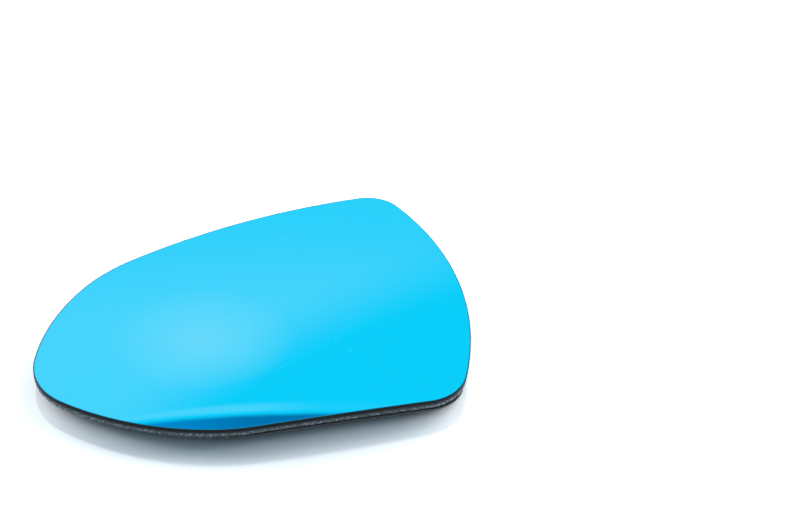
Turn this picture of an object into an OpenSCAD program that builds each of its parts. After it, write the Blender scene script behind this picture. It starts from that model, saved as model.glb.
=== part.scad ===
// Mirror glass of a car's door mirror, complete with the carrier behind it.
// A convex mirror glass is bonded by its heating foil to a moulded carrier
// plate. A ring of spring fingers on the carrier's back snaps over the disc of
// the adjusting motor, and two blade terminals feed the heating foil.
// The origin is on the ring's axis, in the plane of its mouth. +Z points out
// of the mirror face, and +X runs along the glass towards its wide end.
// Lengths are in millimetres and directions in degrees.

/* [Mirror face] */
// Radius of the sphere that the mirror face follows
mirror_r = 1200; // [900:50:2000]
// Thickness of the glass
glass_t = 1.8; // [1.6:0.1:2.4]

/* [Corners of the outline] */
// Peak, where the arcs of the wide end and the top side would meet
peak_x = 70.4; // [66:0.1:74]
peak_y = 69.8; // [66:0.1:73]
// Shoulder, where the arcs of the top side and the narrow end would meet
shoulder_x = -54.3; // [-58:0.1:-50]
shoulder_y = 48; // [45:0.1:52]
// Heel, where the arcs of the narrow end and the belly would meet
heel_x = -98.6; // [-102:0.1:-94]
heel_y = -13.5; // [-17:0.1:-9]
// Foot of the belly, where the arcs of the belly and the bottom side would meet
belly_x = -31.7; // [-36:0.1:-28]
belly_y = -62; // [-65:0.1:-59]
// Toe, where the arcs of the bottom side and the wide end would meet
toe_x = 52.3; // [48:0.1:56]
toe_y = -68.5; // [-71:0.1:-65]

/* [Rounding of the corners] */
// Radius of the corner at the peak
peak_corner_r = 14; // [10:0.5:24]
// Radius of the blend at the shoulder
shoulder_r = 69.5; // [50:0.5:80]
// Radius of the corner at the heel
heel_corner_r = 27.5; // [18:0.5:34]
// Radius of the blend at the foot of the belly
belly_blend_r = 72.5; // [50:0.5:90]
// Radius of the corner at the toe
toe_corner_r = 20; // [14:0.5:30]

/* [Sides of the outline] */
// Radius of the wide end's arc
wide_end_r = 148; // [125:1:190]
// Radius of the top side's arc
top_r = 373; // [280:1:500]
// Radius of the narrow end's arc
narrow_end_r = 90; // [85:1:110]
// Radius of the belly's arc
belly_r = 105; // [98:1:125]
// Radius of the bottom side's arc
bottom_r = 1980; // [800:10:4000]

/* [Heating foil] */
// Thickness of the foil
foil_t = 0.4; // [0.3:0.1:0.8]
// Thickness of the adhesive on each face of the foil
bond_t = 0.03; // [0.02:0.01:0.1]
// Distance from the edge of the glass to the edge of the foil
foil_inset = 3; // [2:0.1:6]
// Gap between the foil's edge and its pocket in the carrier
foil_gap = 0.3; // [0.1:0.1:0.8]

/* [Carrier plate] */
// Depth of the carrier's rim, from the back of the glass down
rim_t = 2.5; // [2:0.1:3.5]
// Distance by which the rim stays inside the edge of the glass
rim_inset = 0.2; // [0:0.1:1]
// Height of the carrier's back, on the ring's axis, above the ring's mouth
standoff = 6.8; // [6.4:0.1:10]

/* [Flange under the rim] */
// Distance from the edge of the glass to the flange's lip, before its shift
lip_inset = 2.8; // [2.4:0.1:5]
// Distance by which the flange sits nearer to the wide end than the glass does
flange_x = 1.5; // [0:0.1:1.6]
// Distance by which the flange sits lower than the glass does
flange_y = 1.6; // [0:0.1:1.7]
// Height of the groove between the rim and the lip
groove_h = 0.7; // [0.4:0.1:1]
// Depth of that groove, inwards from the lip
groove_d = 0.9; // [0.5:0.1:1]
// Height of the lip
lip_h = 0.9; // [0.6:0.1:1.2]
// Thickness of the flange's wall at the lip
flange_t = 2.2; // [1.8:0.1:3]

/* [Snap ring] */
// Inner radius of the ring's wall
ring_in_r = 29; // [26:0.5:31]
// Thickness of the ring's wall
ring_t = 2; // [1.6:0.1:2.6]
// Number of spring fingers round the ring
finger_count = 8; // [6:1:10]
// Width of the slots between the fingers
slot_w = 2.4; // [1.6:0.1:3]
// Width of the one slot that keys the ring to the motor's disc
key_slot_w = 7; // [5:0.5:8]
// Height of the solid ring that the fingers spring from
finger_root = 1.4; // [1:0.1:2]
// How far the hooks reach inwards from the wall
hook_reach = 1.2; // [0.8:0.1:1.6]
// Height of the lead-in at the hooks' mouth
lead_in_h = 0.8; // [0.4:0.1:1]
// Height of the hooks' land
land_h = 1.2; // [0.8:0.1:1.4]
// Height of the slope above the land
hook_slope_h = 0.9; // [0.6:0.1:1.2]
// Length of the core opening above each hook
core_l = 15; // [10:0.5:16]
// Width of the core opening above each hook
core_w = 2.2; // [1.8:0.1:3]

/* [Ribs] */
// Thickness of the ribs
rib_t = 1.4; // [1:0.1:2]
// Number of ribs that run out from the snap ring
rib_count = 12; // [8:4:16]
// Height of the ribs' edges above the ring's mouth
rib_z = 3.6; // [3:0.1:4.5]
// Mean radius of the stiffening ring between the ribs
stiffener_r = 50.5; // [49.5:0.5:54]
// Height of the ribs inside the snap ring
seat_rib_h = 1.2; // [0.8:0.1:1.6]
// Number of ribs inside the snap ring
seat_rib_count = 6; // [3:1:8]
// Radius of the circular rib inside the snap ring
seat_rib_r = 11; // [8:0.5:16]

/* [Terminals] */
// Width of a blade terminal
blade_w = 6.3; // [4.8:0.1:6.5]
// Thickness of a blade terminal
blade_t = 0.8; // [0.5:0.1:1]
// Distance between the middles of the two blades
blade_pitch = 7.6; // [7:0.1:9]
// Diameter of the hole in a blade
blade_hole_d = 1.8; // [1.4:0.1:2]
// Height of that hole's middle above the blade's tip
blade_hole_z = 3; // [2.6:0.1:3.4]
// Chamfer at a blade's tip
blade_chamfer = 0.9; // [0.5:0.1:1.2]
// Length of a blade, from the foil to its tip
blade_l = 7.2; // [6.5:0.1:7.6]
// Length of a terminal's foot on the foil
foot_l = 2.6; // [2:0.1:3]
// Thickness of a terminal's foot
foot_t = 0.5; // [0.3:0.1:0.8]
// Distance of the terminals from the ring's axis
terminal_x = 40.8; // [40:0.1:42]
// Room between the terminals and the sides of their window
window_gap = 1.5; // [1.2:0.1:1.8]
// Thickness of the wall round the window
shroud_t = 1.2; // [1:0.1:1.5]
// Height of that wall's edge above the ring's mouth
shroud_z = 2; // [1.5:0.1:3]

/* [Hidden] */

// The corners, anticlockwise from the peak
CORNERS = [
    [peak_x, peak_y],
    [shoulder_x, shoulder_y],
    [heel_x, heel_y],
    [belly_x, belly_y],
    [toe_x, toe_y]
];
// The radius that rounds each corner, and that of the side that leads to it
CORNER_R = [peak_corner_r, shoulder_r, heel_corner_r, belly_blend_r, toe_corner_r];
SIDE_R = [wide_end_r, top_r, narrow_end_r, belly_r, bottom_r];

// Depths are measured from the mirror face, square to it
foil_top = glass_t + bond_t;
foil_back = foil_top + foil_t;
pocket_depth = foil_back + bond_t;
back_depth = glass_t + rim_t;
groove_depth = back_depth + groove_h;
lip_depth = groove_depth + lip_h;
face_z = standoff + back_depth;

// What stands on the carrier's back starts this far inside its plate
root = 0.6;
// Thickness of the solder between the foil and a terminal's foot
solder_t = 0.05;
// Longer and taller than anything that is cut through
beyond = 120;
// How far a cut runs on past the surface that it opens
past = 1;

ring_out_r = ring_in_r + ring_t;
land_r = ring_in_r - hook_reach;
land_z = lead_in_h + land_h;
slot_z = standoff - finger_root;
finger_step = 360 / finger_count;

window_x = blade_w + 2 * window_gap;
window_y = blade_pitch + blade_t + 2 * window_gap;

black_plastic = [0.12, 0.12, 0.13];
tinned_brass = [0.82, 0.78, 0.66];
foil_black = [0.2, 0.2, 0.22];

// Largest distance between an arc of the outline and its chords
chord_gap = 0.015;
// Facets used for the plain display of round forms and of the mirror's sphere
round_fn = 180;
ball_fn = 360;

function polar(radius, angle) = radius * [cos(angle), sin(angle)];

function after(i) = (i + 1) % len(CORNERS);

function before(i) = (i + len(CORNERS) - 1) % len(CORNERS);

// Centre of the arc from the corner before to corner i
function side_centre(i) =
    let (
        start = CORNERS[before(i)],
        half = (CORNERS[i] - start) / 2,
        inward = [-half[1], half[0]] / norm(half)
    )
    start + half + inward * sqrt(SIDE_R[i] ^ 2 - norm(half) ^ 2);

// Centre of the arc that touches side i and the next one from inside
function corner_centre(i) =
    let (
        a = side_centre(i),
        b = side_centre(after(i)),
        from_a = SIDE_R[i] - CORNER_R[i],
        from_b = SIDE_R[after(i)] - CORNER_R[i],
        span = norm(b - a),
        u = (b - a) / span,
        along = (from_a ^ 2 - from_b ^ 2 + span ^ 2) / (2 * span),
        across = sqrt(from_a ^ 2 - along ^ 2)
    )
    a + along * u + across * [-u[1], u[0]];

// Angle, anticlockwise, from the direction of one vector to that of another
function turn(from, to) =
    let (angle = atan2(to[1], to[0]) - atan2(from[1], from[0]))
    angle < 0 ? angle + 360 : angle;

// Points along an arc, so close that no chord strays further than chord_gap
function arc_points(centre, radius, from, to) =
    let (
        sweep = turn(from, to),
        count = ceil(sweep / (2 * acos(1 - chord_gap / radius)))
    )
    [for (k = [0:count - 1]) centre + polar(radius, atan2(from[1], from[0]) + sweep * k / count)];

// The arcs of side i and of the corner at its end, moved inwards by inset
function side_points(i, inset) =
    let (
        side = side_centre(i),
        first = corner_centre(before(i)),
        last = corner_centre(i)
    )
    concat(
        arc_points(side, SIDE_R[i] - inset, first - side, last - side),
        arc_points(last, CORNER_R[i] - inset, last - side, last - side_centre(after(i)))
    );

// The outline of the glass, moved inwards by inset
module outline(inset = 0) {
    polygon([for (i = [0:len(CORNERS) - 1]) each side_points(i, inset)]);
}

module prism(low = -beyond / 2) {
    translate([0, 0, low])
        linear_extrude(height = beyond)
            children();
}

// Everything that lies deeper than depth under the mirror face
module deeper(depth) {
    translate([0, 0, face_z - mirror_r])
        rotate([90, 0, 0])
            sphere(r = mirror_r - depth, $fn = ball_fn);
}

// A sheet of the 2D shape between two depths under the mirror face
module sheet(top, bottom) {
    intersection() {
        prism()
            children();
        difference() {
            deeper(top);
            deeper(bottom);
        }
    }
}

// Stands the 2D shape on the carrier's back, with its free edge at height low
module stand(low) {
    intersection() {
        prism(low)
            children();
        deeper(back_depth - root);
    }
}

module annulus(inner, outer) {
    difference() {
        circle(r = outer, $fn = round_fn);
        circle(r = inner, $fn = round_fn);
    }
}

module spokes(count, length) {
    for (i = [0:count - 1]) {
        rotate((i + 0.5) * 360 / count)
            translate([0, -rib_t / 2])
                square([length, rib_t]);
    }
}

module flange_outline(inset) {
    translate([flange_x, -flange_y])
        outline(lip_inset + inset);
}

// The wall under the rim, with a groove over its lip
module flange() {
    difference() {
        union() {
            sheet(back_depth - root, lip_depth - lip_h / 2)
                flange_outline(groove_d);
            sheet(groove_depth, lip_depth)
                flange_outline(0);
        }
        prism()
            flange_outline(flange_t);
    }
}

// Ribs between the snap ring and the flange, tied by a stiffening ring
module back_ribs() {
    stand(rib_z)
        intersection() {
            flange_outline((groove_d + flange_t) / 2);
            difference() {
                union() {
                    spokes(rib_count, beyond);
                    annulus(stiffener_r - rib_t / 2, stiffener_r + rib_t / 2);
                }
                circle(r = ring_in_r + ring_t / 2, $fn = round_fn);
            }
        }
}

// Low ribs that the motor's disc seats on
module seat_ribs() {
    stand(standoff - seat_rib_h) {
        difference() {
            spokes(seat_rib_count, ring_in_r + ring_t / 2);
            circle(r = seat_rib_r, $fn = round_fn);
        }
        annulus(seat_rib_r - rib_t / 2, seat_rib_r + rib_t / 2);
    }
}

// The ring's wall with hooks that reach inwards at its mouth
module hooked_wall() {
    intersection() {
        rotate_extrude($fn = round_fn)
            polygon([
                [ring_out_r, 0],
                [ring_out_r, face_z],
                [ring_in_r, face_z],
                [ring_in_r, land_z + hook_slope_h],
                [land_r, land_z],
                [land_r, lead_in_h],
                [land_r + lead_in_h, 0]
            ]);
        deeper(back_depth - root);
    }
}

// Slots that part the wall into fingers, the first of them wider as the key
module finger_slots() {
    for (i = [0:finger_count - 1]) {
        width = i == 0 ? key_slot_w : slot_w;
        rotate(270 + (i + 0.5) * finger_step)
            translate([0, -width / 2, -past])
                cube([ring_out_r + past, width, slot_z + past]);
    }
}

module snap_ring() {
    difference() {
        hooked_wall();
        finger_slots();
    }
}

// Openings over the hooks, through which the mould's cores are drawn
module core_openings() {
    prism(slot_z)
        intersection() {
            circle(r = ring_in_r, $fn = round_fn);
            for (i = [0:finger_count - 1]) {
                rotate(270 + i * finger_step)
                    translate([ring_in_r - core_w, -core_l / 2])
                        square([core_w + past, core_l]);
            }
        }
}

module window(wall = 0) {
    translate([-terminal_x, 0])
        square([window_x + 2 * wall, window_y + 2 * wall], center = true);
}

module shroud() {
    stand(shroud_z)
        difference() {
            window(shroud_t);
            window();
        }
}

// Puts a piece on the foil's back, square to it, where the terminals stand
module on_foil() {
    foil_r = mirror_r - foil_back;
    translate([0, 0, face_z - mirror_r])
        rotate([0, -asin(terminal_x / foil_r), 0])
            translate([0, 0, foil_r - solder_t])
                children();
}

// Front view of a terminal: its width, chamfered tip and hole
module terminal_front_view() {
    half = blade_w / 2;
    difference() {
        polygon([
            [-half, 0],
            [-half, blade_chamfer - blade_l],
            [blade_chamfer - half, -blade_l],
            [half - blade_chamfer, -blade_l],
            [half, blade_chamfer - blade_l],
            [half, 0]
        ]);
        translate([0, blade_hole_z - blade_l])
            circle(d = blade_hole_d, $fn = 48);
    }
}

// Side view of a terminal: a blade on a foot that points to the other blade
module terminal_side_view(side) {
    outer = (blade_pitch + blade_t) / 2;
    polygon([
        [side * outer, -blade_l - past],
        [side * outer, 0],
        [side * (outer - foot_l), 0],
        [side * (outer - foot_l), -foot_t],
        [side * (outer - blade_t), -foot_t],
        [side * (outer - blade_t), -blade_l - past]
    ]);
}

// A terminal soldered to the foil; side is 1 or -1
module terminal(side) {
    color(tinned_brass)
        on_foil()
            intersection() {
                translate([0, window_y / 2, 0])
                    rotate([90, 0, 0])
                        linear_extrude(height = window_y)
                            terminal_front_view();
                translate([-blade_w, 0, 0])
                    rotate([90, 0, 90])
                        linear_extrude(height = 2 * blade_w)
                            terminal_side_view(side);
            }
}

module mirror_glass() {
    color([0.2, 0.75, 0.98])
        sheet(0, glass_t)
            outline();
}

module heater_foil() {
    color(foil_black)
        sheet(foil_top, foil_back)
            outline(foil_inset);
}

module carrier_plate() {
    color(black_plastic)
        difference() {
            union() {
                sheet(glass_t, back_depth)
                    outline(rim_inset);
                flange();
                back_ribs();
                seat_ribs();
                snap_ring();
                shroud();
            }
            sheet(0, pocket_depth)
                outline(foil_inset - foil_gap);
            core_openings();
            prism()
                window();
        }
}

module terminal_front() {
    terminal(-1);
}

module terminal_rear() {
    terminal(1);
}

mirror_glass();
heater_foil();
carrier_plate();
terminal_front();
terminal_rear();
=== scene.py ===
"""A car door mirror's glass, bonded to its carrier plate, dressed for a studio picture."""
import math

import bmesh
import bpy
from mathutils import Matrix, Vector


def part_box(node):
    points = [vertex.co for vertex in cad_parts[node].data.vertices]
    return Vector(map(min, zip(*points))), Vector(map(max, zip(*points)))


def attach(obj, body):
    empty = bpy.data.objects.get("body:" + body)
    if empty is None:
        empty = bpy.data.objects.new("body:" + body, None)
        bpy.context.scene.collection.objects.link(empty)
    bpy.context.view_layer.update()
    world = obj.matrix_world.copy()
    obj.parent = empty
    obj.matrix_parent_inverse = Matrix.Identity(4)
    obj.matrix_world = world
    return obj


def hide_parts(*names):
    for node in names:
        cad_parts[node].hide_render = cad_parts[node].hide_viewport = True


bl_info = {
    "name": "Door Mirror Glass",
    "version": (1, 0, 0),
    "blender": (4, 5, 0),
    "location": "View3D > Sidebar > Mirror Glass",
    "description": "Models and finishes a door mirror glass round its packed solids",
    "category": "Object",
}

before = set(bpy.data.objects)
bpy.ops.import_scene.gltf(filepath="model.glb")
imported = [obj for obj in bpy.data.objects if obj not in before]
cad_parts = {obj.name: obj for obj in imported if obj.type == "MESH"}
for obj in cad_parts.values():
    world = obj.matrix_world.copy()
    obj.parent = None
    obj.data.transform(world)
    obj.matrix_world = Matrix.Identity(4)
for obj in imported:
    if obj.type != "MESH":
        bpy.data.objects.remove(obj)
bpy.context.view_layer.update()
GLASS_LOW, GLASS_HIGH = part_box("mirror_glass")

# A wall's normal rises less than this, and a level face's more than the next
LEVEL = 0.15
UPRIGHT = 0.9
# A face of the mirror's own sphere rises more than this
FACE_UP = 0.99
# A face that follows the sphere round its centre is this close to it in direction
ALONG = 0.9995
# The rim lies further from the ring's axis than this
RIM_FROM = 0.055
# The outward part of a normal times its distance from the axis is more than the
# first on the rim's faces, and more than the second on the walls at its edges
RIM_OUT = 0.005
EDGE_OUT = 0.02
# Faces that face down more than this keep the dark plastic instead of the pale grained rim:
# painted shade under the rim
PAINTED_SHADE_BELOW = -0.3
# How far an edge may lie from where it is looked for
NEAR = 0.00001
# Packed vertices closer than this are one
SAME_PLACE = 1e-6
# The shading stays sharp over edges that bend more than this
GLASS_SMOOTH = math.radians(28)
CARRIER_SMOOTH = math.radians(32)
# Edges of the glass that bend more than this are ground
GLASS_SHARP = math.radians(50)

# Depths between which the lower part of the glass's ground edge is painted paler: a painted
# highlight where the edge would catch light
PAINTED_EDGE_LIGHT = (0.0006, 0.0017)
# Depths between which the rim is painted from dark to pale, and dims again towards the lip:
# painted shade under the glass and at the groove, painted light on the rim's belly
PAINTED_BELLY_LIGHT = (0.0017, 0.0027)
PAINTED_BELLY_LIGHT_END = (0.0044, 0.005)

# Distance of the soft lamps, their height, and the widths of the wide and the small
LAMP_DISTANCE = 1.4
LAMP_HEIGHT = 0.6
WIDE_LAMP = 1.4
SMALL_LAMP = 0.7
# Headings of the lamps, clockwise from +Y, and their rise over the floor
RIGHT_HEADING = math.radians(78)
LEFT_HEADING = math.radians(-36)
HIGH_HEADING = math.radians(55)
LOW_RISE = math.radians(17)
HIGH_RISE = math.radians(40)

# The lit screen's pattern, as shares of its distance, across and up
RIDGE_FOOT = (1.04, 1.062)
RIDGE_TOP = (1.08, 1.066)
RIDGE_ENDS = (0.14, -0.02)
SHADE_FOOT = (1.077, 1.095)
SHADE_ACROSS = (-0.14, 0.04)
WARM_EDGE = (0.95, 0.74)
WARM_RISE = (0.5, 0.8)
# How far the warm part's edge leans for each step up
WARM_LEAN = 0.917

WHITE = (1.0, 1.0, 1.0, 1.0)
# The floor's colour in the light that it passes on
FLOOR_GREY = (0.8, 0.8, 0.8, 1.0)
SCREEN_BLUE = (0.05, 0.93, 0.98, 1.0)
SCREEN_SPOT = (2.1, 1.06, 1.0, 1.0)
SHADE_LEFT = (0.0, 0.38, 0.63, 1.0)
SHADE_RIGHT = (0.0, 0.26, 0.44, 1.0)
DUSTY_MIRROR = (0.42, 0.74, 0.86, 1.0)
DUSTY_PLASTIC = (0.3, 0.34, 0.36, 1.0)


class GlassSizes(bpy.types.PropertyGroup):
    """Sizes of the mirror glass."""

    face_height: bpy.props.FloatProperty(
        name="Face height",
        description="Height of the mirror face over the mouth of the snap ring",
        default=0.0111,
        min=0.005,
        precision=4,
        unit="LENGTH",
    )
    face_radius: bpy.props.FloatProperty(
        name="Face radius",
        description="Radius of the sphere that the mirror face follows",
        default=1.2,
        min=0.5,
        unit="LENGTH",
    )
    thickness: bpy.props.FloatProperty(
        name="Thickness",
        description="Thickness of the glass",
        default=0.0018,
        min=0.001,
        precision=4,
        unit="LENGTH",
    )
    cell: bpy.props.FloatProperty(
        name="Cell",
        description="Largest width of the cells that the face is cut into",
        default=0.004,
        min=0.001,
        precision=4,
        unit="LENGTH",
    )
    border: bpy.props.FloatProperty(
        name="Bare border",
        description="Width of the strip at the edge that the mirror coat leaves bare",
        default=0.0005,
        min=0.0,
        precision=4,
        unit="LENGTH",
    )
    arris: bpy.props.FloatProperty(
        name="Arris",
        description="Width of the ground arris along the edges of the glass",
        default=0.00022,
        min=0.0,
        precision=5,
        unit="LENGTH",
    )


class CarrierSizes(bpy.types.PropertyGroup):
    """Sizes of the carrier plate's rim, groove and lip."""

    rim_depth: bpy.props.FloatProperty(
        name="Rim depth",
        description="Depth of the rim's underside, from the mirror face down",
        default=0.0043,
        min=0.003,
        precision=4,
        unit="LENGTH",
    )
    lip_top: bpy.props.FloatProperty(
        name="Lip top",
        description="Depth of the lip's upper side, from the mirror face down",
        default=0.005,
        min=0.003,
        precision=4,
        unit="LENGTH",
    )
    lip_foot: bpy.props.FloatProperty(
        name="Lip foot",
        description="Depth of the lip's underside, from the mirror face down",
        default=0.0059,
        min=0.003,
        precision=4,
        unit="LENGTH",
    )
    rim_crown: bpy.props.FloatProperty(
        name="Rim crown",
        description="Width of the rounding along the upper edge of the rim",
        default=0.0008,
        min=0.0,
        precision=4,
        unit="LENGTH",
    )
    rim_chamfer: bpy.props.FloatProperty(
        name="Rim chamfer",
        description="Width of the chamfer along the lower edge of the rim",
        default=0.001,
        min=0.0,
        precision=4,
        unit="LENGTH",
    )
    lip_round: bpy.props.FloatProperty(
        name="Lip rounding",
        description="Width of the rounding along both edges of the lip",
        default=0.0002,
        min=0.0,
        precision=5,
        unit="LENGTH",
    )


class StageSettings(bpy.types.PropertyGroup):
    """Camera, floor and lamps."""

    camera_place: bpy.props.FloatVectorProperty(
        name="Camera place",
        description="Where the camera stands",
        default=(-0.15565, -0.51602, 0.4273),
        size=3,
        precision=4,
        subtype="TRANSLATION",
        unit="LENGTH",
    )
    camera_turn: bpy.props.FloatVectorProperty(
        name="Camera turn",
        description="Tilt, roll and heading of the camera",
        default=(math.radians(53.867), math.radians(-2.424), math.radians(-20.232)),
        size=3,
        subtype="EULER",
        unit="ROTATION",
    )
    lens: bpy.props.FloatProperty(
        name="Lens",
        description="Focal length of the camera's lens",
        default=77.36,
        min=20.0,
        unit="CAMERA",
    )
    floor_size: bpy.props.FloatProperty(
        name="Floor size",
        description="Side of the square floor",
        default=8.0,
        min=1.0,
        unit="LENGTH",
    )
    floor_white: bpy.props.FloatProperty(
        name="Floor white",
        description="How white the floor's colour is to the camera",
        default=1.6,
        min=0.0,
    )
    floor_gloss: bpy.props.FloatProperty(
        name="Floor gloss",
        description="Share of the floor's light that it reflects",
        default=0.2,
        min=0.0,
        max=1.0,
        subtype="FACTOR",
    )
    floor_roughness: bpy.props.FloatProperty(
        name="Floor roughness",
        description="Roughness of that reflection",
        default=0.06,
        min=0.0,
        max=1.0,
        subtype="FACTOR",
    )
    right_power: bpy.props.FloatProperty(
        name="Right lamp",
        description="Power of the wide soft lamp to the right of the glass",
        default=27.0,
        min=0.0,
        unit="POWER",
    )
    left_power: bpy.props.FloatProperty(
        name="Left lamp",
        description="Power of the wide soft lamp behind the glass on the left",
        default=28.0,
        min=0.0,
        unit="POWER",
    )
    high_power: bpy.props.FloatProperty(
        name="High lamp",
        description="Power of the small soft lamp high behind the glass",
        default=4.0,
        min=0.0,
        unit="POWER",
    )
    fill: bpy.props.FloatVectorProperty(
        name="Fill",
        description="Colour of the light that comes from all round",
        default=(0.17, 0.25, 0.31),
        size=3,
        subtype="COLOR",
        min=0.0,
        max=1.0,
    )
    screen_distance: bpy.props.FloatProperty(
        name="Screen distance",
        description="Distance of the lit screen that the mirror shows",
        default=5.0,
        min=0.5,
        unit="LENGTH",
    )
    screen_heading: bpy.props.FloatProperty(
        name="Screen heading",
        description="Heading of that screen, from the back of the glass to its right",
        default=math.radians(14.0),
        subtype="ANGLE",
    )


class FinishColours(bpy.types.PropertyGroup):
    """Colours of the finishes."""

    mirror: bpy.props.FloatVectorProperty(
        name="Mirror",
        description="Tint of the mirror coat",
        default=(0.06, 0.66, 0.98),
        size=3,
        subtype="COLOR",
        min=0.0,
        max=1.0,
    )
    border: bpy.props.FloatVectorProperty(
        name="Bare border",
        description="Tint of the strip outside the mirror coat",
        default=(0.004, 0.36, 0.68),
        size=3,
        subtype="COLOR",
        min=0.0,
        max=1.0,
    )
    ground_glass: bpy.props.FloatVectorProperty(
        name="Ground glass",
        description="Colour of the ground edge of the glass",
        default=(0.006, 0.008, 0.01),
        size=3,
        subtype="COLOR",
        min=0.0,
        max=1.0,
    )
    plastic: bpy.props.FloatVectorProperty(
        name="Plastic",
        description="Colour of the carrier's moulded plastic",
        default=(0.018, 0.021, 0.024),
        size=3,
        subtype="COLOR",
        min=0.0,
        max=1.0,
    )
    # The rim is the same black plastic as the carrier; its colour is set far paler as painted
    # light on its near side
    rim: bpy.props.FloatVectorProperty(
        name="Rim",
        description="Colour of the carrier's grained rim",
        default=(0.25, 0.3, 0.33),
        size=3,
        subtype="COLOR",
        min=0.0,
        max=1.0,
    )
    foil: bpy.props.FloatVectorProperty(
        name="Foil",
        description="Colour of the heating foil",
        default=(0.05, 0.05, 0.055),
        size=3,
        subtype="COLOR",
        min=0.0,
        max=1.0,
    )
    track: bpy.props.FloatVectorProperty(
        name="Track",
        description="Colour of the conducting track printed on the foil",
        default=(0.42, 0.4, 0.38),
        size=3,
        subtype="COLOR",
        min=0.0,
        max=1.0,
    )
    terminal: bpy.props.FloatVectorProperty(
        name="Terminal",
        description="Colour of the tinned brass terminals",
        default=(0.78, 0.73, 0.62),
        size=3,
        subtype="COLOR",
        min=0.0,
        max=1.0,
    )


# Mesh helpers


def deselect():
    if bpy.context.mode != "OBJECT":
        bpy.ops.object.mode_set(mode="OBJECT")
    bpy.ops.object.select_all(action="DESELECT")


def pick(obj):
    deselect()
    obj.select_set(True)
    bpy.context.view_layer.objects.active = obj


def edit(obj, kind="FACE"):
    pick(obj)
    bpy.ops.object.mode_set(mode="EDIT")
    bpy.ops.mesh.select_mode(type=kind)


def leave():
    bpy.ops.object.mode_set(mode="OBJECT")


def select_faces(obj, test):
    """Selects the faces that pass the test, in object mode."""
    for part in (obj.data.vertices, obj.data.edges):
        part.foreach_set("select", [False] * len(part))
    for face in obj.data.polygons:
        face.select = test(face)


def merged_copy(node, name):
    """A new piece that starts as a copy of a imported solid, its triangles joined."""
    piece = bpy.data.objects.new(name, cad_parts[node].data.copy())
    bpy.context.scene.collection.objects.link(piece)
    piece.data.name = name
    piece.data.materials.clear()
    edit(piece)
    bpy.ops.mesh.select_all(action="SELECT")
    bpy.ops.mesh.remove_doubles(threshold=SAME_PLACE)
    leave()
    bpy.ops.mesh.customdata_custom_splitnormals_clear()
    return piece


def round_off(piece, centre, test):
    """Shades the faces that pass the test by the sphere round a centre."""
    mesh = piece.data
    normals = [corner.vector.copy() for corner in mesh.corner_normals]
    for face in mesh.polygons:
        if test(face):
            side = 1.0 if face.normal.z > 0.0 else -1.0
            for loop in face.loop_indices:
                spot = mesh.vertices[mesh.loops[loop].vertex_index].co
                normals[loop] = (spot - centre).normalized() * side
    mesh.normals_split_custom_set(normals)


def put_on(piece, node):
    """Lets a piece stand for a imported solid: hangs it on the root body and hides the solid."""
    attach(piece, "root")
    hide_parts(node)


# Material helpers


def linked(tree, value, socket):
    """Feeds a socket from another socket, or sets it to a plain value."""
    if isinstance(value, bpy.types.NodeSocket):
        tree.links.new(value, socket)
    else:
        socket.default_value = value


def add_node(tree, kind, inputs=None, **settings):
    node = tree.nodes.new(kind)
    for name, value in settings.items():
        setattr(node, name, value)
    for name, value in (inputs or {}).items():
        linked(tree, value, node.inputs[name])
    return node


def maths(tree, operation, first, second=0.0):
    node = add_node(tree, "ShaderNodeMath", operation=operation)
    linked(tree, first, node.inputs[0])
    linked(tree, second, node.inputs[1])
    return node.outputs[0]


def ranged(tree, value, low, high, to_low=0.0, to_high=1.0):
    """A smooth step from one value to another."""
    node = add_node(tree, "ShaderNodeMapRange", interpolation_type="SMOOTHSTEP")
    linked(tree, value, node.inputs["Value"])
    for name, number in (
        ("From Min", low),
        ("From Max", high),
        ("To Min", to_low),
        ("To Max", to_high),
    ):
        node.inputs[name].default_value = number
    return node.outputs["Result"]


def mixed(tree, share, first, second):
    """A colour between two others."""
    node = add_node(tree, "ShaderNodeMix", data_type="RGBA")
    linked(tree, share, node.inputs["Factor"])
    linked(tree, first, node.inputs["A"])
    linked(tree, second, node.inputs["B"])
    return node.outputs["Result"]


def solid(colour, share=1.0):
    """A colour, or a share of it, with the alpha that sockets take."""
    return (*(part * share for part in colour), 1.0)


def new_group(name, inputs, outputs):
    group = bpy.data.node_groups.new(name, "ShaderNodeTree")
    for label, kind, default in inputs:
        socket = group.interface.new_socket(name=label, in_out="INPUT", socket_type=kind)
        if default is not None:
            socket.default_value = default
    for label, kind in outputs:
        group.interface.new_socket(name=label, in_out="OUTPUT", socket_type=kind)
    start = group.nodes.new("NodeGroupInput")
    end = group.nodes.new("NodeGroupOutput")
    return group, start.outputs, end.inputs


def use_group(tree, group, inputs):
    node = tree.nodes.new("ShaderNodeGroup")
    node.node_tree = group
    for name, value in inputs.items():
        linked(tree, value, node.inputs[name])
    return node.outputs


def new_material(name):
    material = bpy.data.materials.new(name)
    material.use_nodes = True
    tree = material.node_tree
    shader = next(n for n in tree.nodes if n.type == "BSDF_PRINCIPLED")
    place = tree.nodes.new("ShaderNodeTexCoord").outputs["Object"]
    return material, tree, shader.inputs, place


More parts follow.
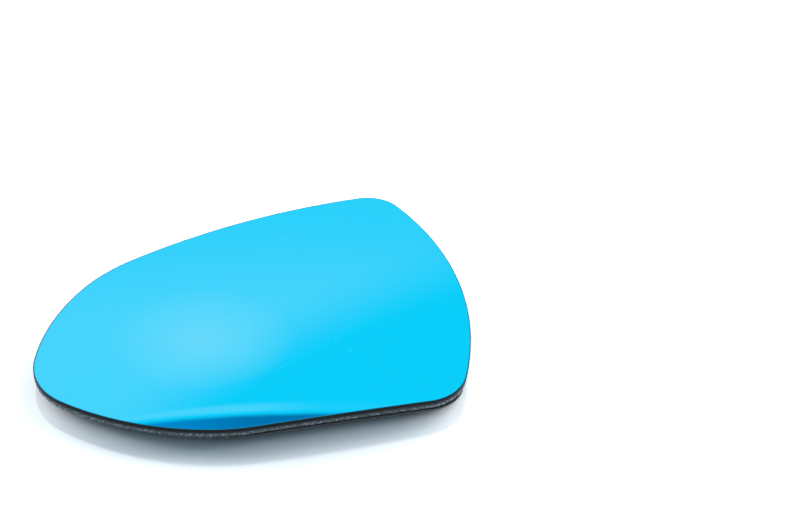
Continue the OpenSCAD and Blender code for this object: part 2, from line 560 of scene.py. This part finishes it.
def dust_group():
    """Fine specks of dust, thicker in some places than in others."""
    name = "Fine dust"
    if name in bpy.data.node_groups:
        return bpy.data.node_groups[name]
    group, given, out = new_group(
        name,
        [
            ("Vector", "NodeSocketVector", None),
            ("Spacing", "NodeSocketFloat", 900.0),
            ("Amount", "NodeSocketFloat", 0.3),
        ],
        [("Mask", "NodeSocketFloat")],
    )
    specks = add_node(
        group,
        "ShaderNodeTexVoronoi",
        {"Vector": given["Vector"], "Scale": given["Spacing"]},
        feature="F1",
    )
    wide = add_node(
        group,
        "ShaderNodeTexNoise",
        {"Vector": given["Vector"], "Scale": 22.0, "Detail": 3.0},
    )
    size = add_node(group, "ShaderNodeSeparateColor", {"Color": specks.outputs["Color"]})
    chosen = maths(group, "LESS_THAN", size.outputs[0], given["Amount"])
    reach = maths(group, "MULTIPLY", size.outputs[1], 0.34)
    near = maths(group, "SUBTRACT", reach, specks.outputs["Distance"])
    speck = ranged(group, near, 0.0, 0.08)
    thick = ranged(group, wide.outputs["Fac"], 0.35, 0.75, 0.15, 1.0)
    mask = maths(group, "MULTIPLY", maths(group, "MULTIPLY", speck, chosen), thick)
    linked(group, mask, out["Mask"])
    return group


def grain_group():
    """The pebbled grain of a moulded surface, with a tone of its own for each pebble."""
    name = "Moulded grain"
    if name in bpy.data.node_groups:
        return bpy.data.node_groups[name]
    group, given, out = new_group(
        name,
        [
            ("Vector", "NodeSocketVector", None),
            ("Scale", "NodeSocketFloat", 1500.0),
        ],
        [
            ("Height", "NodeSocketFloat"),
            ("Crest", "NodeSocketFloat"),
            ("Tone", "NodeSocketFloat"),
        ],
    )
    pebbles = add_node(
        group,
        "ShaderNodeTexVoronoi",
        {"Vector": given["Vector"], "Scale": given["Scale"]},
        feature="F1",
    )
    fine = add_node(
        group,
        "ShaderNodeTexNoise",
        {
            "Vector": given["Vector"],
            "Scale": maths(group, "MULTIPLY", given["Scale"], 1.7),
            "Detail": 4.0,
        },
    )
    away = pebbles.outputs["Distance"]
    height = maths(group, "MULTIPLY", fine.outputs["Fac"], 0.5)
    linked(group, maths(group, "SUBTRACT", height, away), out["Height"])
    linked(group, ranged(group, away, 0.75, 0.3), out["Crest"])
    tones = add_node(group, "ShaderNodeSeparateColor", {"Color": pebbles.outputs["Color"]})
    linked(group, tones.outputs[0], out["Tone"])
    return group


def depth_group():
    """The depth under the sphere that the mirror face follows."""
    name = "Depth under the mirror face"
    if name in bpy.data.node_groups:
        return bpy.data.node_groups[name]
    sizes = bpy.context.scene.mirror_sizes
    group, given, out = new_group(
        name, [("Vector", "NodeSocketVector", None)], [("Depth", "NodeSocketFloat")]
    )
    reach = add_node(group, "ShaderNodeVectorMath", operation="DISTANCE")
    linked(group, given["Vector"], reach.inputs[0])
    reach.inputs[1].default_value = (0.0, 0.0, sizes.face_height - sizes.face_radius)
    depth = maths(group, "SUBTRACT", sizes.face_radius, reach.outputs["Value"])
    linked(group, depth, out["Depth"])
    return group


def bumped(tree, height, distance):
    node = add_node(tree, "ShaderNodeBump", {"Height": height, "Distance": distance})
    return node.outputs["Normal"]


def mirror_material(colours):
    """Blue-tinted mirror coat with a little dust on the glass."""
    material, tree, shader, place = new_material("Mirror coat")
    dust = use_group(tree, dust_group(), {"Vector": place, "Spacing": 1100.0, "Amount": 0.012})
    mask = maths(tree, "MULTIPLY", dust["Mask"], 0.3)
    linked(tree, mixed(tree, mask, solid(colours.mirror), DUSTY_MIRROR), shader["Base Color"])
    linked(tree, maths(tree, "SUBTRACT", 1.0, mask), shader["Metallic"])
    linked(tree, ranged(tree, mask, 0.0, 0.3, 0.0, 0.4), shader["Roughness"])
    return material


def border_material(colours):
    """The strip of glass outside the mirror coat."""
    material, tree, shader, place = new_material("Bare glass border")
    uneven = add_node(tree, "ShaderNodeTexNoise", {"Vector": place, "Scale": 260.0})
    tint = solid(colours.border)
    dark = solid(colours.border, 0.6)
    linked(tree, mixed(tree, uneven.outputs["Fac"], tint, dark), shader["Base Color"])
    shader["Metallic"].default_value = 1.0
    shader["Roughness"].default_value = 0.12
    return material


def ground_glass_material(colours):
    """The ground and blackened edge of the glass, with the marks of the belt and a painted
    highlight along its lower part.
    """
    material, tree, shader, place = new_material("Ground glass edge")
    stretched = add_node(
        tree, "ShaderNodeMapping", {"Vector": place, "Scale": (420.0, 420.0, 5200.0)}
    )
    streaks = add_node(
        tree,
        "ShaderNodeTexNoise",
        {"Vector": stretched.outputs["Vector"], "Scale": 1.0, "Detail": 3.0},
    )
    tone = ranged(tree, streaks.outputs["Fac"], 0.35, 0.75)
    dark = solid(colours.ground_glass)
    pale = solid(colours.ground_glass, 2.2)
    # Painted highlight: the lower part of the ground edge is painted far paler, where it would
    # catch light
    painted_edge_light = solid(colours.ground_glass, 7.0)
    depth = use_group(tree, depth_group(), {"Vector": place})["Depth"]
    colour = mixed(tree, tone, dark, pale)
    colour = mixed(tree, ranged(tree, depth, *PAINTED_EDGE_LIGHT), colour, painted_edge_light)
    linked(tree, colour, shader["Base Color"])
    linked(tree, ranged(tree, streaks.outputs["Fac"], 0.3, 0.7, 0.3, 0.5), shader["Roughness"])
    linked(tree, bumped(tree, streaks.outputs["Fac"], 0.00002), shader["Normal"])
    shader["Specular IOR Level"].default_value = 0.22
    return material


def plastic_material(colours):
    """Satin black plastic as it leaves the mould, with a trace of dust."""
    material, tree, shader, place = new_material("Moulded black plastic")
    grain = use_group(tree, grain_group(), {"Vector": place, "Scale": 2600.0})
    dust = use_group(tree, dust_group(), {"Vector": place, "Spacing": 700.0, "Amount": 0.1})
    flow = add_node(tree, "ShaderNodeTexNoise", {"Vector": place, "Scale": 45.0, "Detail": 2.0})
    dark = solid(colours.plastic)
    pale = solid(colours.plastic, 1.6)
    colour = mixed(tree, ranged(tree, flow.outputs["Fac"], 0.35, 0.7), dark, pale)
    dust_mask = maths(tree, "MULTIPLY", dust["Mask"], 0.2)
    linked(tree, mixed(tree, dust_mask, colour, DUSTY_PLASTIC), shader["Base Color"])
    linked(tree, ranged(tree, flow.outputs["Fac"], 0.3, 0.7, 0.36, 0.5), shader["Roughness"])
    linked(tree, bumped(tree, grain["Height"], 0.00003), shader["Normal"])
    return material


def painted_light_rim_material(colours):
    """The pebbled rim and lip, paler on the grain's crests, with painted shade at the rim's top
    and foot and painted light on its belly.
    """
    material, tree, shader, place = new_material("Grained black rim with painted light")
    grain = use_group(tree, grain_group(), {"Vector": place, "Scale": 1500.0})
    depth = use_group(tree, depth_group(), {"Vector": place})["Depth"]
    # This dark colour is painted shade, for the rim's top under the glass and its foot at the
    # groove
    dark = solid(colours.rim, 0.3)
    dull = solid(colours.rim, 0.5)
    pale = solid(colours.rim, 2.4)
    colour = mixed(tree, maths(tree, "POWER", grain["Tone"], 2.5), dull, pale)
    # Painted light and shade by depth: dark at the top under the glass, pale on the belly, dimmer
    # towards the lip; the grain's crests are paler
    painted_belly_light = ranged(tree, depth, *PAINTED_BELLY_LIGHT, 0.35, 1.0)
    painted_belly_light = maths(tree, "MULTIPLY", painted_belly_light, ranged(tree, depth, *PAINTED_BELLY_LIGHT_END, 1.0, 0.45))
    painted_light_and_crests = maths(tree, "MULTIPLY", painted_belly_light, ranged(tree, grain["Crest"], 0.0, 1.0, 0.4, 1.0))
    linked(tree, mixed(tree, painted_light_and_crests, dark, colour), shader["Base Color"])
    linked(tree, ranged(tree, grain["Tone"], 0.0, 1.0, 0.6, 0.36), shader["Roughness"])
    linked(tree, bumped(tree, grain["Height"], 0.0002), shader["Normal"])
    return material


def foil_material(colours):
    """Heating foil with a wavy printed track."""
    material, tree, shader, place = new_material("Printed heating foil")
    bands = add_node(
        tree,
        "ShaderNodeTexWave",
        {"Vector": place, "Scale": 70.0, "Distortion": 1.2, "Detail": 1.0},
    )
    track = ranged(tree, bands.outputs["Fac"], 0.62, 0.7)
    linked(
        tree,
        mixed(tree, track, solid(colours.foil), solid(colours.track)),
        shader["Base Color"],
    )
    linked(tree, ranged(tree, track, 0.0, 1.0, 0.5, 0.38), shader["Roughness"])
    linked(tree, bumped(tree, track, 0.00003), shader["Normal"])
    return material


def terminal_material(colours):
    """Tinned brass, brushed along the strip and dulled in patches."""
    material, tree, shader, place = new_material("Tinned brass")
    stretched = add_node(
        tree, "ShaderNodeMapping", {"Vector": place, "Scale": (2600.0, 2600.0, 180.0)}
    )
    marks = add_node(
        tree,
        "ShaderNodeTexNoise",
        {"Vector": stretched.outputs["Vector"], "Scale": 1.0, "Detail": 4.0},
    )
    patches = add_node(tree, "ShaderNodeTexNoise", {"Vector": place, "Scale": 420.0})
    dull = solid(colours.terminal, 0.7)
    tone = ranged(tree, patches.outputs["Fac"], 0.4, 0.7)
    linked(tree, mixed(tree, tone, solid(colours.terminal), dull), shader["Base Color"])
    shader["Metallic"].default_value = 1.0
    linked(tree, ranged(tree, marks.outputs["Fac"], 0.3, 0.7, 0.24, 0.42), shader["Roughness"])
    linked(tree, bumped(tree, marks.outputs["Fac"], 0.00001), shader["Normal"])
    return material


class MIRROR_OT_glass(bpy.types.Operator):
    """Models the convex glass with its bare border and ground edge"""

    bl_idname = "mirror.glass"
    bl_label = "Mirror glass"

    def execute(self, context):
        sizes = context.scene.mirror_sizes
        colours = context.scene.mirror_colours
        piece = merged_copy("mirror_glass", "door_mirror_glass")
        for make in (mirror_material, border_material, ground_glass_material):
            piece.data.materials.append(make(colours))
        self.flat_outline(piece)
        self.cut_into_cells(piece, sizes)
        centre = Vector((0.0, 0.0, sizes.face_height - sizes.face_radius))
        self.curve(piece, sizes, centre)
        self.thicken(piece, sizes)
        self.finish_faces(piece, sizes, centre)
        put_on(piece, "mirror_glass")
        return {"FINISHED"}

    def flat_outline(self, piece):
        """Keeps one flat face with the outline of the glass."""
        select_faces(piece, lambda face: face.normal.z < UPRIGHT)
        edit(piece)
        bpy.ops.mesh.delete(type="FACE")
        leave()
        for vertex in piece.data.vertices:
            vertex.co.z = 0.0
        edit(piece)
        bpy.ops.mesh.select_all(action="SELECT")
        bpy.ops.mesh.dissolve_faces()
        leave()

    def cut_into_cells(self, piece, sizes):
        """Parts the bare border from the face, then cuts both into cells."""
        edit(piece)
        bpy.ops.mesh.select_all(action="SELECT")
        bpy.ops.mesh.inset(thickness=sizes.border, use_boundary=True)
        leave()
        for face in piece.data.polygons:
            face.material_index = 0 if face.select else 1
        for axis in (0, 1):
            low, high = GLASS_LOW[axis], GLASS_HIGH[axis]
            count = math.ceil((high - low) / sizes.cell)
            square = Vector((0.0, 0.0, 0.0))
            square[axis] = 1.0
            edit(piece)
            for k in range(1, count):
                cut = square * (low + (high - low) * k / count)
                bpy.ops.mesh.select_all(action="SELECT")
                bpy.ops.mesh.bisect(plane_co=cut, plane_no=square)
            leave()

    def curve(self, piece, sizes, centre):
        """Lifts the cells onto the sphere of the mirror face."""
        for vertex in piece.data.vertices:
            flat = vertex.co.x ** 2 + vertex.co.y ** 2
            vertex.co.z = centre.z + math.sqrt(sizes.face_radius ** 2 - flat)

    def thicken(self, piece, sizes):
        down = (0, 0, -sizes.thickness)
        edit(piece)
        bpy.ops.mesh.select_all(action="SELECT")
        bpy.ops.mesh.extrude_region_move(TRANSFORM_OT_translate={"value": down})
        bpy.ops.mesh.select_all(action="SELECT")
        bpy.ops.mesh.normals_make_consistent(inside=False)
        leave()

    def finish_faces(self, piece, sizes, centre):
        """Grinds the arrises, then shares the faces out between the finishes."""
        mesh = piece.data
        edit(piece, "EDGE")
        bpy.ops.mesh.select_all(action="DESELECT")
        bpy.ops.mesh.edges_select_sharp(sharpness=GLASS_SHARP)
        bpy.ops.mesh.bevel(offset=sizes.arris, segments=2, affect="EDGES")
        leave()
        for face in mesh.polygons:
            if face.normal.z < FACE_UP:
                face.material_index = 2
        pick(piece)
        bpy.ops.object.shade_smooth_by_angle(angle=GLASS_SMOOTH)
        round_off(piece, centre, lambda face: face.material_index < 2)


class MIRROR_OT_carrier(bpy.types.Operator):
    """Models the moulded carrier plate with its rounded rim and lip"""

    bl_idname = "mirror.carrier"
    bl_label = "Carrier plate"

    def execute(self, context):
        glass = context.scene.mirror_sizes
        sizes = context.scene.mirror_carrier_sizes
        colours = context.scene.mirror_colours
        centre = Vector((0.0, 0.0, glass.face_height - glass.face_radius))
        piece = merged_copy("carrier_plate", "mirror_carrier_plate")
        for make in (plastic_material, painted_light_rim_material):
            piece.data.materials.append(make(colours))
        self.ease_edges(piece, glass, sizes, centre)
        self.share_finishes(piece, glass, sizes, centre)
        self.shade(piece, centre)
        put_on(piece, "carrier_plate")
        return {"FINISHED"}

    def ease_edges(self, piece, glass, sizes, centre):
        """Chamfers and rounds the outer edges of the rim and of the lip."""
        edit(piece, "EDGE")
        bpy.ops.mesh.select_all(action="DESELECT")
        for depth, side, width, steps, shape in (
            (sizes.rim_depth, -1, sizes.rim_chamfer, 3, 0.32),
            (glass.thickness, 1, sizes.rim_crown, 3, 0.5),
            (sizes.lip_foot, -1, sizes.lip_round, 2, 0.5),
            (sizes.lip_top, 1, sizes.lip_round, 2, 0.5),
        ):
            self.pick_edge(piece, centre, glass.face_radius - depth, side)
            bpy.ops.mesh.bevel(offset=width, segments=steps, profile=shape, affect="EDGES")
        leave()

    def share_finishes(self, piece, glass, sizes, centre):
        """Gives the rim's and the lip's outer faces the pale grained finish; the lip's rising
        faces and what faces down keep the dark plastic, as painted shade in the groove and under
        the rim.
        """
        for face in piece.data.polygons:
            depth = glass.face_radius - (face.center - centre).length
            outwards = face.normal.x * face.center.x + face.normal.y * face.center.y
            on_painted_lit_band = glass.thickness < depth < sizes.lip_foot and outwards > RIM_OUT
            # On the lip, rising faces keep the dark plastic: painted shade in the groove under
            # the rim
            highest = UPRIGHT if depth < sizes.rim_depth else LEVEL
            on_painted_lit_band = on_painted_lit_band and PAINTED_SHADE_BELOW < face.normal.z < highest
            face.material_index = 1 if on_painted_lit_band and face.center.xy.length > RIM_FROM else 0

    def shade(self, piece, centre):
        """Smooths the shading, and lets what follows the sphere be shaded by it."""
        pick(piece)
        bpy.ops.object.shade_smooth_by_angle(angle=CARRIER_SMOOTH)
        bpy.ops.object.modifier_add(type="WEIGHTED_NORMAL")
        piece.modifiers[-1].keep_sharp = True
        piece.modifiers[-1].weight = 100
        bpy.ops.object.modifier_apply(modifier=piece.modifiers[-1].name)
        round_off(
            piece,
            centre,
            lambda face: abs(face.normal.dot((face.center - centre).normalized())) > ALONG,
        )

    def pick_edge(self, piece, centre, radius, side):
        """Selects the outer edge of a band, under it or, where side is 1, over it."""
        mesh = bmesh.from_edit_mesh(piece.data)
        mesh.normal_update()
        for edge in mesh.edges:
            middle = (edge.verts[0].co + edge.verts[1].co) / 2
            wall, flat = sorted(edge.link_faces, key=lambda face: abs(face.normal.z))
            outwards = wall.normal.x * middle.x + wall.normal.y * middle.y > EDGE_OUT
            edge.select = (
                abs((middle - centre).length - radius) < NEAR
                and middle.xy.length > RIM_FROM
                and abs(wall.normal.z) < LEVEL
                and flat.normal.z * side > UPRIGHT
                and outwards
                and (wall.calc_center_median().z - middle.z) * side < 0.0
            )
        bmesh.update_edit_mesh(piece.data)


class MIRROR_OT_foil(bpy.types.Operator):
    """Finishes the heating foil"""

    bl_idname = "mirror.foil"
    bl_label = "Heating foil"

    def execute(self, context):
        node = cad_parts["heater_foil"]
        node.data.materials.clear()
        node.data.materials.append(foil_material(context.scene.mirror_colours))
        return {"FINISHED"}


class MIRROR_OT_terminals(bpy.types.Operator):
    """Finishes the two blade terminals"""

    bl_idname = "mirror.terminals"
    bl_label = "Terminals"

    def execute(self, context):
        finish = terminal_material(context.scene.mirror_colours)
        for name in ("terminal_front", "terminal_rear"):
            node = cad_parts[name]
            node.data.materials.clear()
            node.data.materials.append(finish)
        return {"FINISHED"}


class MIRROR_OT_stage(bpy.types.Operator):
    """Sets the floor, the lamps, the lit screen and the camera"""

    bl_idname = "mirror.stage"
    bl_label = "Stage"

    def execute(self, context):
        stage = context.scene.mirror_stage
        self.floor(stage)
        self.screen(stage)
        self.world(context, stage)
        self.lamp("right_lamp", stage.right_power, RIGHT_HEADING, LOW_RISE, WIDE_LAMP)
        self.lamp("left_lamp", stage.left_power, LEFT_HEADING, LOW_RISE, WIDE_LAMP)
        self.lamp("high_lamp", stage.high_power, HIGH_HEADING, HIGH_RISE, SMALL_LAMP)
        self.camera(context, stage)
        context.scene.view_settings.view_transform = "Standard"
        return {"FINISHED"}

    def floor(self, stage):
        deselect()
        bpy.ops.mesh.primitive_plane_add(size=stage.floor_size)
        floor = bpy.context.object
        floor.name = "floor"
        material = bpy.data.materials.new("White table")
        material.use_nodes = True
        tree = material.node_tree
        tree.nodes.clear()
        path = tree.nodes.new("ShaderNodeLightPath")
        white = mixed(
            tree,
            path.outputs["Is Camera Ray"],
            FLOOR_GREY,
            solid([stage.floor_white] * 3),
        )
        matt = add_node(tree, "ShaderNodeBsdfDiffuse", {"Color": white})
        gloss = add_node(
            tree,
            "ShaderNodeBsdfGlossy",
            {"Color": WHITE, "Roughness": stage.floor_roughness},
        )
        both = tree.nodes.new("ShaderNodeMixShader")
        both.inputs["Fac"].default_value = stage.floor_gloss
        tree.links.new(matt.outputs[0], both.inputs[1])
        tree.links.new(gloss.outputs[0], both.inputs[2])
        end = tree.nodes.new("ShaderNodeOutputMaterial")
        tree.links.new(both.outputs[0], end.inputs["Surface"])
        floor.data.materials.append(material)

    def screen(self, stage):
        """A lit screen that only reflections show, dim above its upper edge.

        The polished mirror shows its colours, and what is rougher sees it white.
        """
        deselect()
        heading = stage.screen_heading
        place = Vector((math.sin(heading), math.cos(heading), 0.0)) * stage.screen_distance
        place.z = GLASS_HIGH.z
        bpy.ops.mesh.primitive_plane_add(
            size=4 * stage.screen_distance,
            location=place,
            rotation=(math.radians(90), 0.0, -heading),
        )
        screen = bpy.context.object
        screen.name = "lit_screen"
        for way in ("camera", "diffuse", "shadow", "transmission", "volume_scatter"):
            setattr(screen, "visible_" + way, False)
        material = bpy.data.materials.new("Lit screen")
        material.use_nodes = True
        tree = material.node_tree
        tree.nodes.clear()
        place = tree.nodes.new("ShaderNodeTexCoord").outputs["Object"]
        spread = add_node(tree, "ShaderNodeVectorMath", operation="SCALE")
        linked(tree, place, spread.inputs[0])
        spread.inputs["Scale"].default_value = 1 / stage.screen_distance
        axes = add_node(tree, "ShaderNodeSeparateXYZ", {"Vector": spread.outputs[0]})
        across, up = axes.outputs["X"], axes.outputs["Y"]
        slant = maths(tree, "ADD", across, maths(tree, "MULTIPLY", up, WARM_LEAN))
        warm = maths(
            tree,
            "MULTIPLY",
            ranged(tree, slant, *WARM_EDGE),
            ranged(tree, up, *WARM_RISE, 0.25, 0.92),
        )
        ridge = maths(
            tree,
            "MULTIPLY",
            ranged(tree, up, *RIDGE_FOOT),
            ranged(tree, across, *RIDGE_ENDS, 0.12, 1.0),
        )
        red = maths(tree, "MAXIMUM", warm, ridge)
        red = maths(tree, "MULTIPLY", red, ranged(tree, up, *RIDGE_TOP))
        lit = mixed(tree, red, SCREEN_BLUE, WHITE)
        spot_place = add_node(tree, "ShaderNodeMapping", {"Vector": spread.outputs[0]})
        spot_place.inputs["Location"].default_value = (0.4, -5.9, 0.0)
        spot_place.inputs["Scale"].default_value = (7.7, 6.9, 1.0)
        spot = add_node(
            tree,
            "ShaderNodeTexGradient",
            {"Vector": spot_place.outputs["Vector"]},
            gradient_type="SPHERICAL",
        )
        lit = mixed(tree, spot.outputs["Fac"], lit, SCREEN_SPOT)
        shade = mixed(tree, ranged(tree, across, *SHADE_ACROSS), SHADE_LEFT, SHADE_RIGHT)
        seen = mixed(tree, ranged(tree, up, *SHADE_FOOT), lit, shade)
        path = tree.nodes.new("ShaderNodeLightPath")
        colour = mixed(tree, path.outputs["Is Singular Ray"], WHITE, seen)
        glow = add_node(tree, "ShaderNodeEmission", {"Color": colour, "Strength": 1.0})
        end = tree.nodes.new("ShaderNodeOutputMaterial")
        tree.links.new(glow.outputs[0], end.inputs["Surface"])
        screen.data.materials.append(material)

    def world(self, context, stage):
        world = bpy.data.worlds.new("Soft room")
        context.scene.world = world
        world.use_nodes = True
        tree = world.node_tree
        back = next(n for n in tree.nodes if n.type == "BACKGROUND")
        path = tree.nodes.new("ShaderNodeLightPath").outputs
        seen = maths(tree, "MAXIMUM", path["Is Camera Ray"], path["Is Glossy Ray"])
        seen = maths(tree, "MAXIMUM", seen, path["Is Transmission Ray"])
        colour = mixed(tree, seen, solid(stage.fill), WHITE)
        linked(tree, colour, back.inputs["Color"])

    def lamp(self, name, power, heading, rise, width):
        """A soft lamp that faces the glass and stays out of reflections."""
        deselect()
        flat = math.cos(rise)
        way = Vector((math.sin(heading) * flat, math.cos(heading) * flat, math.sin(rise)))
        bpy.ops.object.light_add(
            type="AREA",
            location=way * LAMP_DISTANCE,
            rotation=(-way).to_track_quat("-Z", "Y").to_euler(),
        )
        lamp = bpy.context.object
        lamp.name = name
        lamp.data.shape = "RECTANGLE"
        lamp.data.size = width
        lamp.data.size_y = LAMP_HEIGHT
        lamp.data.energy = power
        lamp.visible_glossy = False
        lamp.visible_camera = False

    def camera(self, context, stage):
        deselect()
        bpy.ops.object.camera_add(location=stage.camera_place, rotation=stage.camera_turn)
        camera = bpy.context.object
        camera.name = "camera"
        camera.data.lens = stage.lens
        camera.data.sensor_width = 36.0
        camera.data.sensor_fit = "HORIZONTAL"
        camera.data.clip_start = 0.01
        camera.data.clip_end = 50.0
        context.scene.camera = camera


class MIRROR_PT_panel(bpy.types.Panel):
    """Lists the sizes, the colours and the steps"""

    bl_idname = "MIRROR_PT_panel"
    bl_label = "Door Mirror Glass"
    bl_space_type = "VIEW_3D"
    bl_region_type = "UI"
    bl_category = "Mirror Glass"

    def draw(self, context):
        for group in GROUPS:
            box = self.layout.box()
            settings = getattr(context.scene, group)
            for name in settings.__annotations__:
                box.prop(settings, name)
        for step in STEPS:
            self.layout.operator(step.bl_idname)


STEPS = (MIRROR_OT_glass, MIRROR_OT_carrier, MIRROR_OT_foil, MIRROR_OT_terminals, MIRROR_OT_stage)
GROUPS = {
    "mirror_sizes": GlassSizes,
    "mirror_carrier_sizes": CarrierSizes,
    "mirror_colours": FinishColours,
    "mirror_stage": StageSettings,
}


def register():
    for cls in (*GROUPS.values(), *STEPS, MIRROR_PT_panel):
        bpy.utils.register_class(cls)
    for name, group in GROUPS.items():
        setattr(bpy.types.Scene, name, bpy.props.PointerProperty(type=group))


def unregister():
    for name in GROUPS:
        delattr(bpy.types.Scene, name)
    for cls in (MIRROR_PT_panel, *reversed(STEPS), *reversed(list(GROUPS.values()))):
        bpy.utils.unregister_class(cls)


def main():
    register()
    bpy.ops.mirror.glass()
    bpy.ops.mirror.carrier()
    bpy.ops.mirror.foil()
    bpy.ops.mirror.terminals()
    bpy.ops.mirror.stage()


if __name__ == "__main__":
    main()
